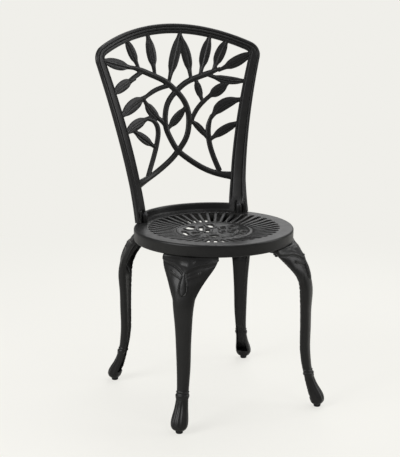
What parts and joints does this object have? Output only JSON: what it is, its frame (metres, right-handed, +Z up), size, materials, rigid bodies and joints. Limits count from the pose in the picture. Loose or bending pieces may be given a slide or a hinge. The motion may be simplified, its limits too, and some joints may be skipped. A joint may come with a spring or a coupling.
{
  "type": "cast metal garden chair",
  "caption": "Round garden chair in black cast metal, with a slotted dished seat, cabriole legs on small glides and a bowed back of leafy crossing vine stems under an arched rail.",
  "frame": {"origin": "on the floor, straight under the middle of the round seat and midway between the four feet", "axes": "+Z up from the floor, -Y the way the sitter faces, +Y towards the backrest, +X the sitter's left, which is on the right when the chair is seen from the front"},
  "size_m": [0.467, 0.4887, 0.9303],
  "materials": {
    "casting": "black satin powder coat with a fine texture",
    "glide": "matt black moulded plastic",
    "fastening": "black coated steel"
  },
  "bodies": {
    "root": {"seat": "casting", "backrest": "casting", "leg_front_left": "casting", "leg_front_right": "casting", "leg_rear_left": "casting", "leg_rear_right": "casting", "glide_front_left": "glide", "glide_front_right": "glide", "glide_rear_left": "glide", "glide_rear_right": "glide", "leg_studs": "fastening", "leg_washers": "fastening", "leg_spring_washers": "fastening", "leg_nuts": "fastening", "back_bolts": "fastening", "back_washers": "fastening", "back_nuts": "fastening"}
  },
  "joints": []
}
